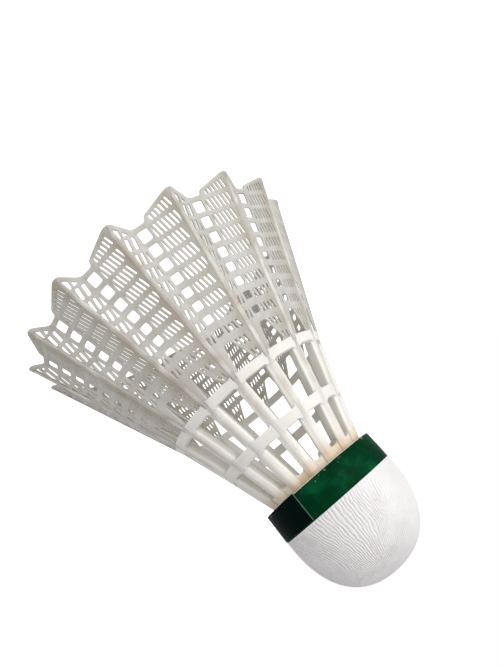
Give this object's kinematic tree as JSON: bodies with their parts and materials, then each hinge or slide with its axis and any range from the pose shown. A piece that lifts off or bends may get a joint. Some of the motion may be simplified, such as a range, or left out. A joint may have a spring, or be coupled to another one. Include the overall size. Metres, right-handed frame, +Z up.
{
  "type": "badminton shuttlecock",
  "caption": "Synthetic badminton shuttlecock: moulded nylon skirt of pleated net, stems and hoops, on a rounded cork base with a white cover and a green tape band.",
  "frame": {"origin": "centre of the circle of the skirt's sixteen tips, in the plane on which they stand", "axes": "+Z up the axis from the skirt's tips to the nose of the base; +X through the tip of stem_01"},
  "size_m": [0.068, 0.068, 0.0749],
  "materials": {
    "nylon": "translucent off-white nylon, satin",
    "cover": "thin white leather, finely wrinkled",
    "tape": "glossy dark green tape",
    "cork": "pressed cork, matt",
    "adhesive": "cured glue"
  },
  "bodies": {
    "root": {"stem_01": "nylon", "stem_02": "nylon", "stem_03": "nylon", "stem_04": "nylon", "stem_05": "nylon", "stem_06": "nylon", "stem_07": "nylon", "stem_08": "nylon", "stem_09": "nylon", "stem_10": "nylon", "stem_11": "nylon", "stem_12": "nylon", "stem_13": "nylon", "stem_14": "nylon", "stem_15": "nylon", "stem_16": "nylon", "net_01": "nylon", "net_02": "nylon", "net_03": "nylon", "net_04": "nylon", "net_05": "nylon", "net_06": "nylon", "net_07": "nylon", "net_08": "nylon", "net_09": "nylon", "net_10": "nylon", "net_11": "nylon", "net_12": "nylon", "net_13": "nylon", "net_14": "nylon", "net_15": "nylon", "net_16": "nylon", "upper_hoop": "nylon", "lower_hoop": "nylon", "collar": "nylon", "adhesive": "adhesive", "cork": "cork", "cover": "cover", "tape_band": "tape"}
  },
  "joints": []
}
